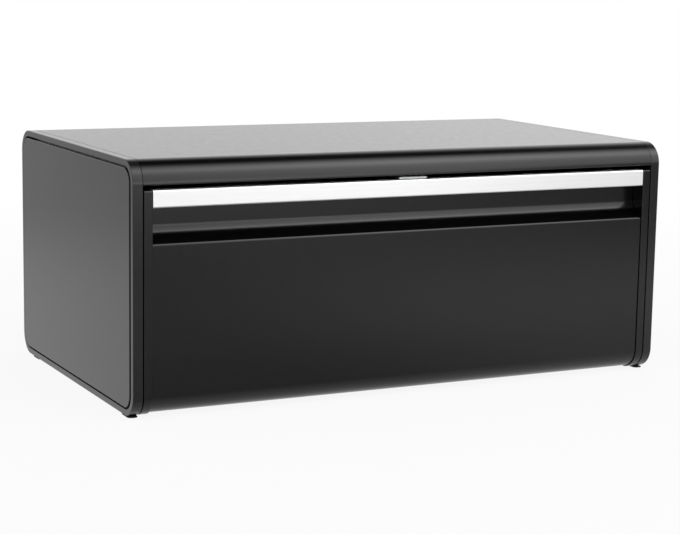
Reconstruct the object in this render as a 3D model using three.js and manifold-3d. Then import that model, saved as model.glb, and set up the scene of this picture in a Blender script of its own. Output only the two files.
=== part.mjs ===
// A bread box with a falling front lid.
// Millimetres, +X to the right, the lid on the -Y side, +Z up.
// The origin is under the middle of the box, on the surface that it stands on.
import * as THREE from 'three';
import { mergeVertices } from 'three/addons/utils/BufferGeometryUtils.js';
import Module from 'manifold-3d';

const wasm = await Module();
wasm.setup();

// Driving dimensions of the box
const overallWidth = 445;
const overallDepth = 260;
const overallHeight = 184;
const cornerRadius = 17;        // of the side view's four corners
const footProud = 0.9;          // how far the feet lift the frames
const sheet = 0.8;              // thickness of the painted steel
const gap = 0.3;                // between pieces that are fixed to each other
const seat = 0.1;               // under a screw's or a rivet's head
const runGap = 0.9;             // between the lid and the body
const overrun = 1;              // how far a cut runs past the face that it cuts
const cornerSteps = 6;          // half the facets in a large corner's quarter turn
const smallSteps = 2;           // half the facets in a small bend's quarter turn
const holeSides = 16;

// The end frames and the side panels
const frameFace = 8;            // width of the frame seen from the front, panel included
const webThickness = 2;
const rimWidth = 4.5;
const panelGroove = 0.8;        // shadow groove between the rim and the panel
const panelProud = 0.5;
const flangeWidth = 10;         // flange that carries the sleeve
const flangeThickness = 3;

// The lid, its handle and its finger recess
const capFace = 6.4;
const sheetRecess = 1;          // how far the lid's sheet lies behind the caps' front
const handleRecess = 0.2;
const lipHeight = 17.4;         // the band above the gap, down from the top
const lipGap = 3.3;             // between the handle and the lip above it
const handleHeight = 12.7;
const recessHeight = 25;        // between the handle and the face below it
const recessDepth = 13;         // of the finger recess, from the front of the box
const recessSlope = 32;         // degrees by which the recess's floor falls to the front
const coveRadius = 10.1;        // where that floor turns up into the back wall
const flangeDepth = 28;         // of the lid's hemmed top flange, from the front of the box
const hemGap = 0.4;             // between the two layers of that flange
const faceBend = 1.8;
const flangeBend = 1.2;
const curlEnd = 315;            // degrees round the hinge at which the curled edge ends
const handleBend = 1.2;
const handleTopReturn = 7;
const handleBottomReturn = 3;

// Stations that follow from them
const halfWidth = overallWidth / 2;
const frontY = -overallDepth / 2;
const backY = overallDepth / 2;
const rimFace = halfWidth - panelProud;
const frameInner = halfWidth - frameFace;
const webFace = frameInner + webThickness;
const flangeInner = frameInner - flangeWidth;
const capOuter = frameInner - runGap;
const capInner = capOuter - capFace;
const sheetEnd = capInner - gap;
const hingeY = frontY + cornerRadius;
const hingeZ = footProud + cornerRadius;
const sillY = hingeY + cornerRadius + runGap;   // where the body's underside begins
const lipZ = overallHeight - lipHeight;
const handleTop = lipZ - lipGap;
const floorZ = footProud + sheet;
const handleBottom = handleTop - handleHeight;
const faceTop = handleBottom - recessHeight;
const sheetY = frontY + sheetRecess;
const handleY = frontY + handleRecess;
const recessBackY = frontY + recessDepth;
const flangeBackY = frontY + flangeDepth;
const capBackY = flangeBackY + sheet + gap;
const lidFlangeTop = handleTop - sheet - gap;

const blackPaint = { color: 0x1c1c1e, roughness: 0.38, metalness: 0.2 };
const blackPlastic = { color: 0x202022, roughness: 0.55, metalness: 0 };
const greyPlastic = { color: 0x3a3a3d, roughness: 0.6, metalness: 0 };
const stainless = { color: 0xd6d6d4, roughness: 0.3, metalness: 1 };
const zincPlate = { color: 0xb4b6b8, roughness: 0.35, metalness: 1 };
const magnetGrey = { color: 0x4a4a4d, roughness: 0.7, metalness: 0.1 };
const blackRubber = { color: 0x151515, roughness: 0.85, metalness: 0 };
const nylon = { color: 0xdcdcd6, roughness: 0.5, metalness: 0 };

const box = new THREE.Group();

// Closed geometry to solid and back
function solid(geometry) {
  geometry.deleteAttribute('normal');
  geometry.deleteAttribute('uv');
  const merged = mergeVertices(geometry);
  return new wasm.Manifold(new wasm.Mesh({
    numProp: 3,
    vertProperties: merged.attributes.position.array,
    triVerts: new Uint32Array(merged.index.array),
  }));
}

function addPiece(name, shape, finish) {
  const { numProp, vertProperties, triVerts } = shape.getMesh();
  const geometry = new THREE.BufferGeometry();
  geometry.setAttribute('position', new THREE.BufferAttribute(vertProperties, numProp));
  geometry.setIndex(new THREE.BufferAttribute(triVerts, 1));
  geometry.computeVertexNormals();
  const mesh = new THREE.Mesh(geometry, new THREE.MeshStandardMaterial(finish));
  mesh.name = name;
  box.add(mesh);
}

// A flat shape given by two axes is pushed along the third
const axesAlong = {
  x: [new THREE.Vector3(0, 1, 0), new THREE.Vector3(0, 0, 1), new THREE.Vector3(1, 0, 0)],
  y: [new THREE.Vector3(0, 0, 1), new THREE.Vector3(1, 0, 0), new THREE.Vector3(0, 1, 0)],
  z: [new THREE.Vector3(1, 0, 0), new THREE.Vector3(0, 1, 0), new THREE.Vector3(0, 0, 1)],
};

function pushed(shape, along, from, to, steps = cornerSteps) {
  const start = Math.min(from, to);
  const geometry = new THREE.ExtrudeGeometry(shape, {
    depth: Math.abs(to - from), bevelEnabled: false, curveSegments: steps,
  });
  geometry.translate(0, 0, start);
  geometry.applyMatrix4(new THREE.Matrix4().makeBasis(...axesAlong[along]));
  return solid(geometry);
}

function block(x, y, z) {
  const outline = new THREE.Shape();
  outline.moveTo(x[0], y[0]).lineTo(x[1], y[0]).lineTo(x[1], y[1]).lineTo(x[0], y[1]).closePath();
  return pushed(outline, 'z', z[0], z[1]);
}

// The two ends of a span on one side of the box, in rising order
function onSide(side, from, to) {
  return side > 0 ? [from, to] : [-to, -from];
}

function circle(u, v, radius, sides = holeSides) {
  const points = [];
  for (let i = 0; i < sides; i += 1) {
    const angle = (i * 2 * Math.PI) / sides;
    points.push(new THREE.Vector2(u + radius * Math.cos(angle), v + radius * Math.sin(angle)));
  }
  return new THREE.Shape(points);
}

// A round piece turned about the line through the place given, along the axis given.
// Its profile holds radius and distance along that axis.
function turned(profile, along, place, sign = 1) {
  const points = profile.map(([radius, distance]) => new THREE.Vector2(radius, distance));
  const geometry = new THREE.LatheGeometry(points, holeSides);
  const spin = {
    x: () => geometry.rotateZ((-sign * Math.PI) / 2),
    y: () => (sign > 0 ? geometry : geometry.rotateX(Math.PI)),
    z: () => geometry.rotateX((sign * Math.PI) / 2),
  };
  spin[along]();
  geometry.translate(...place);
  return solid(geometry);
}

// The box's side view, drawn in by the distance given
function sideView(inset) {
  const radius = cornerRadius - inset;
  const y = [frontY + cornerRadius, backY - cornerRadius];
  const z = [footProud + cornerRadius, overallHeight - cornerRadius];
  const outline = new THREE.Shape();
  outline.absarc(y[1], z[0], radius, -Math.PI / 2, 0);
  outline.absarc(y[1], z[1], radius, 0, Math.PI / 2);
  outline.absarc(y[0], z[1], radius, Math.PI / 2, Math.PI);
  outline.absarc(y[0], z[0], radius, Math.PI, 1.5 * Math.PI);
  outline.closePath();
  return outline;
}

// A sheet bent along a path. The path is its shown face, and the metal lies to the right of it.
function bentSheet(path, thickness, steps) {
  const shown = path.getPoints(steps);
  const hidden = shown.map((point, i) => {
    const before = shown[Math.max(i - 1, 0)];
    const after = shown[Math.min(i + 1, shown.length - 1)];
    const along = (a, b) => new THREE.Vector2().subVectors(b, a).normalize();
    const first = i > 0 ? along(before, point) : along(point, after);
    const second = i < shown.length - 1 ? along(point, after) : first;
    const middle = new THREE.Vector2().addVectors(first, second).normalize();
    const stretch = thickness / middle.dot(first);
    return new THREE.Vector2(point.x + middle.y * stretch, point.y - middle.x * stretch);
  });
  return new THREE.Shape([...shown, ...hidden.reverse()]);
}

// A countersunk screw, its head flush with the face that it is driven into
const screw = {
  headRadius: 3, headDepth: 1.5, shankRadius: 1.4, length: 6.5, clearance: 0.2, flush: 0.1,
};

function countersunk(along, place, sign, grow = 0) {
  const { headRadius, headDepth, shankRadius, length, flush } = screw;
  const start = grow > 0 ? -overrun : flush;
  return turned([
    [0, start], [headRadius + grow, start], [headRadius + grow, flush],
    [shankRadius + grow, flush + headDepth], [shankRadius + grow, length + grow], [0, length + grow],
  ], along, place, sign);
}

// The screws that hold the sleeve to each frame: two in the back, two in the underside
const screwX = frameInner - flangeWidth / 2;
const backScrewInset = 38;      // in from the top and the bottom of the back
const baseScrewInset = 45;      // in from the front sill and the back
const frameScrews = (side) => [
  { name: 'back_top', along: 'y', place: [side * screwX, backY, overallHeight - backScrewInset], sign: -1 },
  { name: 'back_bottom', along: 'y', place: [side * screwX, backY, footProud + backScrewInset], sign: -1 },
  { name: 'base_rear', along: 'z', place: [side * screwX, backY - baseScrewInset, footProud], sign: 1 },
  { name: 'base_front', along: 'z', place: [side * screwX, sillY + baseScrewInset, footProud], sign: 1 },
];

function addFrameScrews(side, word) {
  for (const { name, along, place, sign } of frameScrews(side)) {
    addPiece(`frame_screw_${name}_${word}`, countersunk(along, place, sign), zincPlate);
  }
}

function cutFrameScrews(piece) {
  let cut = piece;
  for (const side of [-1, 1]) {
    for (const { along, place, sign } of frameScrews(side)) {
      cut = cut.subtract(countersunk(along, place, sign, screw.clearance));
    }
  }
  return cut;
}

// The painted sleeve: lip, top, back and underside from one sheet
const sleeve = {
  hemDepth: 6, sillHeight: 8, ventRadius: 2.5, ventPitch: 12, ventCount: 9, ventDrop: 30,
};

function addSleeve() {
  const ends = [-(frameInner - gap), frameInner - gap];
  const opening = block([-halfWidth, halfWidth], [frontY - overrun, sillY], [-overrun, lipZ]);
  let piece = pushed(sideView(0), 'x', ...ends)
    .subtract(pushed(sideView(sheet), 'x', ends[0] - overrun, ends[1] + overrun))
    .subtract(opening);
  const hem = block(ends, [frontY, frontY + sleeve.hemDepth], [lipZ, lipZ + sheet])
    .intersect(pushed(sideView(0), 'x', ...ends));
  const sill = block(ends, [sillY, sillY + sheet], [footProud, footProud + sleeve.sillHeight]);
  piece = piece.add(hem).add(sill);
  for (let i = 0; i < sleeve.ventCount; i += 1) {
    const x = (i - (sleeve.ventCount - 1) / 2) * sleeve.ventPitch;
    const hole = circle(overallHeight - sleeve.ventDrop, x, sleeve.ventRadius);
    piece = piece.subtract(pushed(hole, 'y', backY - sheet - overrun, backY + overrun));
  }
  addPiece('body_sleeve', cutFrameScrews(piece), blackPaint);
}

// The hinge at each end: a steel pin in the cap, turning in a flanged bush in the frame
const hinge = {
  pinRadius: 2.5, pinClearance: 0.3, pinInCap: 4.5, bushWall: 1.8, bushFlange: 6.2,
  bushFlangeDepth: 1.2, bossWall: 3, bossClear: 0.5, endClear: 0.6,
};
const boreRadius = hinge.pinRadius + hinge.pinClearance;
const bushRadius = boreRadius + hinge.bushWall;
const bushSeat = bushRadius + gap;
const bossFace = halfWidth - sheet - hinge.bossClear;
const pinStart = capOuter - hinge.pinInCap;
const pinEnd = bossFace - hinge.endClear;

function addHinge(side, word) {
  const pin = pushed(circle(hingeY, hingeZ, hinge.pinRadius), 'x', ...onSide(side, pinStart, pinEnd));
  addPiece(`hinge_pin_${word}`, pin, stainless);
  const bush = turned([
    [boreRadius, gap], [hinge.bushFlange, gap], [hinge.bushFlange, hinge.bushFlangeDepth],
    [bushRadius, hinge.bushFlangeDepth], [bushRadius, bossFace - frameInner],
    [boreRadius, bossFace - frameInner], [boreRadius, gap],
  ], 'x', [side * frameInner, hingeY, hingeZ], side);
  addPiece(`hinge_bush_${word}`, bush, nylon);
}

// A peg on the frame runs in a curved slot in the cap and stops the lid flat open
const stop = {
  pegRadius: 2, orbit: 11.5, pegAngle: 70, slotDepth: 3, slotClear: 0.5, endClear: 0.3, opening: 90,
};

// The rubber buffer behind each top corner of the lid, and the boss that carries it
const buffer = { radius: 3.5, thickness: 3, drop: 9.3, bossHalf: 5, bossReach: 9, bossLength: 8 };
const bufferZ = handleTop - buffer.drop;
const bufferX = capOuter - capFace / 2;
const bufferY = capBackY + gap;

// Low feet, each pegged up into a frame
const foot = {
  length: 16.5, width: 7.6, frontInset: 10, backInset: 23, sideInset: 0.3, corner: 3,
  pegRadius: 1.6, pegHeight: 3,
};
const footOuter = rimFace - foot.sideInset;
const footX = [footOuter - foot.width, footOuter];
const pegX = (frameInner + rimFace) / 2;
const footSpans = {
  front: [frontY + foot.frontInset, frontY + foot.frontInset + foot.length],
  rear: [backY - foot.backInset - foot.length, backY - foot.backInset],
};

function footPeg(side, span, from, to, radius) {
  return pushed(circle(side * pegX, (span[0] + span[1]) / 2, radius), 'z', from, to);
}

function addEndFrame(side, word) {
  let piece = pushed(sideView(0), 'x', ...onSide(side, frameInner, rimFace))
    .subtract(pushed(sideView(rimWidth), 'x', ...onSide(side, webFace, rimFace + overrun)));

  const flangeSpan = onSide(side, flangeInner, frameInner);
  const flangeRoom = onSide(side, flangeInner - overrun, frameInner + overrun);
  const outside = sheet + gap;
  const swingRoom = block(flangeSpan, [frontY - overrun, sillY + sheet + gap], [-overrun, lipZ + outside]);
  const flange = pushed(sideView(outside), 'x', flangeSpan[0], flangeSpan[1])
    .subtract(pushed(sideView(outside + flangeThickness), 'x', ...flangeRoom))
    .subtract(swingRoom);
  piece = piece.add(flange);

  const bossRound = circle(hingeY, hingeZ, bushSeat + hinge.bossWall);
  const boss = pushed(bossRound, 'x', ...onSide(side, webFace, bossFace));
  const flangeRadius = hinge.bushFlange + gap;
  const bushDepth = hinge.bushFlangeDepth + gap;
  const bushHole = turned([
    [0, -overrun], [flangeRadius, -overrun], [flangeRadius, bushDepth],
    [bushSeat, bushDepth], [bushSeat, frameFace + overrun], [0, frameFace + overrun],
  ], 'x', [side * frameInner, hingeY, hingeZ], side);
  piece = piece.add(boss).subtract(bushHole);

  const angle = THREE.MathUtils.degToRad(stop.pegAngle);
  const pegY = hingeY + stop.orbit * Math.cos(angle);
  const pegZ = hingeZ + stop.orbit * Math.sin(angle);
  const peg = circle(pegY, pegZ, stop.pegRadius);
  const pegSpan = onSide(side, capOuter - stop.slotDepth + stop.endClear, webFace);
  piece = piece.add(pushed(peg, 'x', ...pegSpan));

  const bossY = bufferY + buffer.thickness + gap;
  const bufferBoss = block(
    onSide(side, frameInner - buffer.bossReach, webFace),
    [bossY, bossY + buffer.bossLength],
    [bufferZ - buffer.bossHalf, bufferZ + buffer.bossHalf],
  );
  piece = piece.add(bufferBoss);

  for (const span of Object.values(footSpans)) {
    const top = footProud + foot.pegHeight + gap;
    piece = piece.subtract(footPeg(side, span, footProud - overrun, top, foot.pegRadius + screw.clearance));
  }
  addPiece(`end_frame_${word}`, cutFrameScrews(piece), blackPlastic);
}

function addSidePanel(side, word) {
  const inset = rimWidth + panelGroove;
  const seatX = webFace + gap;
  const panel = pushed(sideView(inset), 'x', ...onSide(side, seatX, halfWidth))
    .subtract(pushed(sideView(inset + sheet), 'x', ...onSide(side, seatX - overrun, halfWidth - sheet)));
  addPiece(`side_panel_${word}`, panel, blackPaint);
}

function addBuffer(side, word) {
  const disc = circle(bufferZ, side * bufferX, buffer.radius);
  addPiece(`lid_buffer_${word}`, pushed(disc, 'y', bufferY, bufferY + buffer.thickness), blackRubber);
}

function addFeet(side, word) {
  for (const [end, span] of Object.entries(footSpans)) {
    const [x0, x1] = onSide(side, ...footX);
    const r = foot.corner;
    const outline = new THREE.Shape();
    outline.absarc(x1 - r, span[0] + r, r, -Math.PI / 2, 0);
    outline.absarc(x1 - r, span[1] - r, r, 0, Math.PI / 2);
    outline.absarc(x0 + r, span[1] - r, r, Math.PI / 2, Math.PI);
    outline.absarc(x0 + r, span[0] + r, r, Math.PI, 1.5 * Math.PI);
    const top = footProud - gap;
    const peg = footPeg(side, span, top - gap, footProud + foot.pegHeight, foot.pegRadius);
    addPiece(`foot_${end}_${word}`, pushed(outline, 'z', 0, top, smallSteps).add(peg), blackRubber);
  }
}

// The ribbed floor that the bread lies on, with its ribs from front to back
const trayRibs = { plate: 1.6, height: 1.4, width: 2, pitch: 12 };

function addBaseTray() {
  const half = flangeInner - gap;
  const bottom = floorZ + gap;
  const top = bottom + trayRibs.plate;
  const count = Math.floor((2 * half) / trayRibs.pitch) - 1;
  const outline = new THREE.Shape();
  outline.moveTo(-half, bottom).lineTo(-half, top);
  for (let i = 0; i < count; i += 1) {
    const x = (i - (count - 1) / 2) * trayRibs.pitch;
    outline.lineTo(x - trayRibs.width / 2, top).lineTo(x - trayRibs.width / 2, top + trayRibs.height);
    outline.lineTo(x + trayRibs.width / 2, top + trayRibs.height).lineTo(x + trayRibs.width / 2, top);
  }
  outline.lineTo(half, top).lineTo(half, bottom).closePath();
  const turnedOutline = new THREE.Shape(outline.getPoints().map((p) => new THREE.Vector2(p.y, p.x)));
  const tray = pushed(turnedOutline, 'y', sillY + sheet + gap, backY - cornerRadius);
  addPiece('base_tray', tray, greyPlastic);
}

// The magnetic catch, hung from a rail behind the lip
const rail = { wall: 2, reach: 28 };
const caught = {
  width: 28, front: 13, depth: 12, top: 9.4, bottom: 1, earWidth: 8, earThickness: 1.7,
};
const magnet = { width: 21, depth: 4, pole: 1.2, poleDrop: 1.2, height: 6.5 };
const strike = { width: 24, depth: 16, thickness: 1.5, setBack: 2.2 };
const rivet = { pitch: 15, radius: 1.2, headRadius: 2, headHeight: 0.6, fromFront: 2.4, tail: 1 };
const smallScrew = { headRadius: 2.2, headHeight: 1, shankRadius: 1.1, length: 4.6 };
const railZ = lipZ + sheet + gap;
const railBack = [frontY + rail.reach - rail.wall, frontY + rail.reach];
const strikeTop = handleTop + gap + strike.thickness;
const housingY = [frontY + caught.front, frontY + caught.front + caught.depth];
const housingZ = [lipZ - caught.bottom, railZ + rail.wall + caught.top];
const earZ = [railZ - gap - caught.earThickness, railZ - gap];
const catchScrewX = (caught.width + caught.earWidth) / 2;

function addFrontRail() {
  const ends = [-(flangeInner - gap), flangeInner - gap];
  const inside = pushed(sideView(sheet + gap), 'x', ...ends);
  const lower = block(ends, [frontY, railBack[1]], [railZ, railZ + rail.wall]);
  const rear = block(ends, railBack, [railZ, overallHeight]);
  const room = block(
    [-(caught.width / 2 + gap), caught.width / 2 + gap],
    [housingY[0] - gap, housingY[1] + gap],
    [railZ - overrun, railZ + rail.wall + overrun],
  );
  let piece = lower.add(rear).intersect(inside).subtract(room);
  const holeRadius = smallScrew.shankRadius + screw.clearance;
  for (const side of [-1, 1]) {
    const hole = circle(side * catchScrewX, (housingY[0] + housingY[1]) / 2, holeRadius);
    piece = piece.subtract(pushed(hole, 'z', railZ - overrun, railZ + rail.wall + overrun));
  }
  addPiece('front_rail', piece, blackPlastic);
}

function addCatch() {
  const middleY = (housingY[0] + housingY[1]) / 2;
  const half = caught.width / 2;
  const earHalf = half + caught.earWidth;
  const stack = magnet.depth / 2 + gap + magnet.pole;
  const poleZ = [strikeTop + gap, strikeTop + gap + magnet.poleDrop + magnet.height + magnet.poleDrop];
  const pocket = block(
    [-(magnet.width / 2 + gap), magnet.width / 2 + gap],
    [middleY - stack - gap, middleY + stack + gap],
    [housingZ[0] - overrun, poleZ[1] + gap],
  );
  let housing = block([-half, half], housingY, housingZ)
    .add(block([-earHalf, earHalf], housingY, earZ))
    .subtract(pocket);
  for (const side of [-1, 1]) {
    const x = side * catchScrewX;
    const hole = circle(x, middleY, smallScrew.shankRadius + screw.clearance);
    housing = housing.subtract(pushed(hole, 'z', earZ[0] - overrun, earZ[1] + overrun));
    const under = earZ[0] - seat;
    const fixing = turned([
      [0, 0], [smallScrew.headRadius, 0], [smallScrew.headRadius, smallScrew.headHeight],
      [smallScrew.shankRadius, smallScrew.headHeight],
      [smallScrew.shankRadius, smallScrew.headHeight + smallScrew.length],
      [0, smallScrew.headHeight + smallScrew.length],
    ], 'z', [x, middleY, under - smallScrew.headHeight]);
    addPiece(`catch_screw_${side > 0 ? 'right' : 'left'}`, fixing, zincPlate);
  }
  addPiece('magnet_housing', housing, blackPlastic);
  const across = [-magnet.width / 2, magnet.width / 2];
  const magnetZ = [poleZ[0] + magnet.poleDrop, poleZ[0] + magnet.poleDrop + magnet.height];
  const magnetY = [middleY - magnet.depth / 2, middleY + magnet.depth / 2];
  addPiece('catch_magnet', block(across, magnetY, magnetZ), magnetGrey);
  const poleInner = magnet.depth / 2 + gap;
  addPiece('pole_plate_front', block(across, [middleY - stack, middleY - poleInner], poleZ), zincPlate);
  addPiece('pole_plate_rear', block(across, [middleY + poleInner, middleY + stack], poleZ), zincPlate);
}

// The lid's painted sheet
const lidFlange = { depth: 9, aboveHinge: 11.5, belowFace: 9.6 };
const lidFlangeZ = [hingeZ + lidFlange.aboveHinge, faceTop - lidFlange.belowFace];
const capScrew = { headRadius: 2.8, headHeight: 1.8, shankRadius: 1.4, length: 5, inset: 14 };
const capScrewHeights = [lidFlangeZ[0] + capScrew.inset, lidFlangeZ[1] - capScrew.inset];
const capScrewY = sheetY + sheet + lidFlange.depth / 2;
const strikeY = [handleY + strike.setBack, handleY + strike.setBack + strike.depth];
const rivetY = strikeY[0] + rivet.fromFront;

function cutRivets(piece, zFrom, zTo) {
  let cut = piece;
  for (const side of [-1, 1]) {
    const hole = circle((side * rivet.pitch) / 2, rivetY, rivet.radius + screw.clearance);
    cut = cut.subtract(pushed(hole, 'z', zFrom - overrun, zTo + overrun));
  }
  return cut;
}

function addLidPanel() {
  const curl = hingeY - sheetY;
  const underFlange = lidFlangeTop - sheet;
  const lipInner = handleY + sheet + gap + sheet;
  const slope = THREE.MathUtils.degToRad(recessSlope);
  const foldEndY = sheetY + faceBend - faceBend * Math.sin(slope);
  const foldEndZ = faceTop - faceBend + faceBend * Math.cos(slope);
  const coveY = recessBackY - coveRadius;
  const coveStartY = coveY + coveRadius * Math.sin(slope);
  const coveZ = foldEndZ + (coveStartY - foldEndY) * Math.tan(slope) + coveRadius * Math.cos(slope);
  const wallBend = flangeBend + sheet;
  const hemRadius = hemGap / 2;
  const path = new THREE.Path();
  path.absarc(hingeY, hingeZ, curl, THREE.MathUtils.degToRad(curlEnd - 360), -Math.PI, true);
  path.lineTo(sheetY, faceTop - faceBend);
  path.absarc(sheetY + faceBend, faceTop - faceBend, faceBend, Math.PI, Math.PI / 2 + slope, true);
  path.absarc(coveY, coveZ, coveRadius, slope - Math.PI / 2, 0);
  path.absarc(recessBackY + wallBend, underFlange - hemGap - wallBend, wallBend, Math.PI, Math.PI / 2, true);
  path.absarc(flangeBackY - hemRadius, underFlange - hemRadius, hemRadius, -Math.PI / 2, Math.PI / 2);
  path.lineTo(lipInner + flangeBend, underFlange);
  path.absarc(lipInner + flangeBend, underFlange - flangeBend, flangeBend, Math.PI / 2, Math.PI);
  path.lineTo(lipInner, handleBottom + sheet + gap);
  const section = bentSheet(path, sheet, cornerSteps);
  let piece = pushed(section, 'x', -sheetEnd, sheetEnd);
  for (const side of [-1, 1]) {
    const flange = block(
      onSide(side, sheetEnd - sheet, sheetEnd),
      [sheetY + sheet / 2, sheetY + sheet + lidFlange.depth],
      lidFlangeZ,
    );
    piece = piece.add(flange);
    for (const z of capScrewHeights) {
      const hole = circle(capScrewY, z, capScrew.shankRadius + screw.clearance);
      const span = onSide(side, sheetEnd - sheet - overrun, sheetEnd + overrun);
      piece = piece.subtract(pushed(hole, 'x', ...span));
    }
  }
  addPiece('lid_panel', cutRivets(piece, underFlange, lidFlangeTop), blackPaint);
}

function addHandle() {
  const path = new THREE.Path();
  path.moveTo(handleY + handleBottomReturn, handleBottom).lineTo(handleY + handleBend, handleBottom);
  path.absarc(handleY + handleBend, handleBottom + handleBend, handleBend, -Math.PI / 2, -Math.PI, true);
  path.lineTo(handleY, handleTop - handleBend);
  path.absarc(handleY + handleBend, handleTop - handleBend, handleBend, Math.PI, Math.PI / 2, true);
  path.lineTo(handleY + handleTopReturn, handleTop);
  const strip = pushed(bentSheet(path, sheet, smallSteps), 'x', -sheetEnd, sheetEnd);
  addPiece('handle_strip', cutRivets(strip, handleTop - sheet, handleTop), stainless);
}

function addStrike() {
  const z = [strikeTop - strike.thickness, strikeTop];
  const plate = block([-strike.width / 2, strike.width / 2], strikeY, z);
  addPiece('strike_plate', cutRivets(plate, ...z), zincPlate);
  for (const side of [-1, 1]) {
    const bottom = lidFlangeTop - sheet - rivet.tail;
    const headZ = strikeTop + seat - bottom;
    const shape = turned([
      [0, 0], [rivet.radius, 0], [rivet.radius, headZ], [rivet.headRadius, headZ],
      [rivet.radius, headZ + rivet.headHeight], [0, headZ + rivet.headHeight],
    ], 'z', [(side * rivet.pitch) / 2, rivetY, bottom]);
    addPiece(`strike_rivet_${side > 0 ? 'right' : 'left'}`, shape, zincPlate);
  }
}

// The moulded cap at each end of the lid
const cap = { stripDepth: 11, topCorner: 1.5, backCorner: 3, blockDrop: 10, slope: 12 };

function capOutline() {
  const stripBack = frontY + cap.stripDepth;
  const blockFoot = faceTop - cap.blockDrop;
  const meet = Math.acos((stripBack - hingeY) / cornerRadius);
  const outline = new THREE.Shape();
  outline.absarc(hingeY, hingeZ, cornerRadius, Math.PI, meet + 2 * Math.PI);
  outline.lineTo(stripBack, blockFoot - cap.slope);
  outline.lineTo(capBackY, blockFoot);
  outline.absarc(capBackY - cap.backCorner, handleTop - cap.backCorner, cap.backCorner, 0, Math.PI / 2);
  outline.absarc(frontY + cap.topCorner, handleTop - cap.topCorner, cap.topCorner, Math.PI / 2, Math.PI);
  outline.closePath();
  return outline;
}

function stopSlot() {
  const widen = (stop.pegRadius + stop.endClear) / stop.orbit;
  const last = THREE.MathUtils.degToRad(stop.pegAngle) + widen;
  const first = THREE.MathUtils.degToRad(stop.pegAngle - stop.opening) - widen;
  const half = stop.pegRadius + stop.slotClear;
  const outline = new THREE.Shape();
  outline.absarc(hingeY, hingeZ, stop.orbit + half, first, last);
  outline.absarc(hingeY, hingeZ, stop.orbit - half, last, first, true);
  outline.closePath();
  return outline;
}

function addCap(side, word) {
  let piece = pushed(capOutline(), 'x', ...onSide(side, capInner, capOuter))
    .subtract(pushed(stopSlot(), 'x', ...onSide(side, capOuter - stop.slotDepth, capOuter + overrun)))
    .subtract(pushed(
      circle(hingeY, hingeZ, hinge.pinRadius + hinge.pinClearance / 2), 'x',
      ...onSide(side, pinStart - gap, capOuter + overrun),
    ));
  for (const [i, z] of capScrewHeights.entries()) {
    const hole = circle(capScrewY, z, capScrew.shankRadius + screw.clearance);
    const headX = sheetEnd - sheet - seat - capScrew.headHeight;
    const tip = headX + capScrew.headHeight + capScrew.length;
    piece = piece.subtract(pushed(hole, 'x', ...onSide(side, capInner - overrun, tip + gap)));
    const fixing = turned([
      [0, 0], [capScrew.headRadius, 0], [capScrew.headRadius, capScrew.headHeight],
      [capScrew.shankRadius, capScrew.headHeight],
      [capScrew.shankRadius, capScrew.headHeight + capScrew.length],
      [0, capScrew.headHeight + capScrew.length],
    ], 'x', [side * headX, capScrewY, z], side);
    addPiece(`cap_screw_${i ? 'upper' : 'lower'}_${word}`, fixing, zincPlate);
  }
  addPiece(`lid_cap_${word}`, piece, blackPlastic);
}

addSleeve();
for (const [side, word] of [[-1, 'left'], [1, 'right']]) {
  addEndFrame(side, word);
  addSidePanel(side, word);
  addHinge(side, word);
  addBuffer(side, word);
  addFeet(side, word);
  addFrameScrews(side, word);
  addCap(side, word);
}
addBaseTray();
addFrontRail();
addCatch();
addLidPanel();
addHandle();
addStrike();

export default box;
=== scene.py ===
import math

import bmesh
import bpy
from mathutils import Matrix, Vector


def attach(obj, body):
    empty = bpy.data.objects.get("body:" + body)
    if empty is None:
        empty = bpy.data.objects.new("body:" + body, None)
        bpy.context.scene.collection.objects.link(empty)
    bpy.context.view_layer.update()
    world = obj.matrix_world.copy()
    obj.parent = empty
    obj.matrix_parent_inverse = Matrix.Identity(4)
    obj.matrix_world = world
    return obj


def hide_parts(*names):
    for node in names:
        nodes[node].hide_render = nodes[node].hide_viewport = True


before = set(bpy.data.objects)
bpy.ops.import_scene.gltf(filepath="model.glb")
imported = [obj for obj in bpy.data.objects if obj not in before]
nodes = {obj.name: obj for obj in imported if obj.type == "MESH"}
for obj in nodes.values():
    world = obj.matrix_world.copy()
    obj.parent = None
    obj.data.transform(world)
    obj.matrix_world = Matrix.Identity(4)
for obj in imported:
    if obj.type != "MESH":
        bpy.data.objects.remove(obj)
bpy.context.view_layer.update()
scene = bpy.context.scene
mm = 0.001                      # the shapes are drawn in millimetres, about the box's own origin
print("frame loaded:", len(nodes), "nodes")

camera = {"place": (-0.6539, -1.3070, 0.3188), "turn": 26.73, "tilt": -9.385, "roll": 0.983,
          "lens": 96.4, "sensor": 36}
lens = bpy.data.cameras.new("camera")
lens.lens = camera["lens"]
lens.sensor_width = camera["sensor"]
eye = bpy.data.objects.new("camera", lens)
scene.collection.objects.link(eye)
eye.matrix_world = (
    Matrix.Translation(camera["place"])
    @ Matrix.Rotation(-math.radians(camera["turn"]), 4, "Z")
    @ Matrix.Rotation(math.radians(90 + camera["tilt"]), 4, "X")
    @ Matrix.Rotation(math.radians(camera["roll"]), 4, "Z")
)
scene.camera = eye
scene.view_settings.view_transform = "Standard"
print("camera placed")

samePoint = 1e-3                # points closer than this are one point
slack = 0.01                    # how far off a face or a point may lie and still count as there
outside = 1                     # how far most cutters start outside what they cut
angles = {"corner": 50, "soften": 30, "shade": 35, "flat": 0.5}     # between two faces, in degrees
alongX, alongY, alongZ = (1, 0, 0), (0, 1, 0), (0, 0, 1)
sides = ((1, "right"), (-1, "left"))

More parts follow.
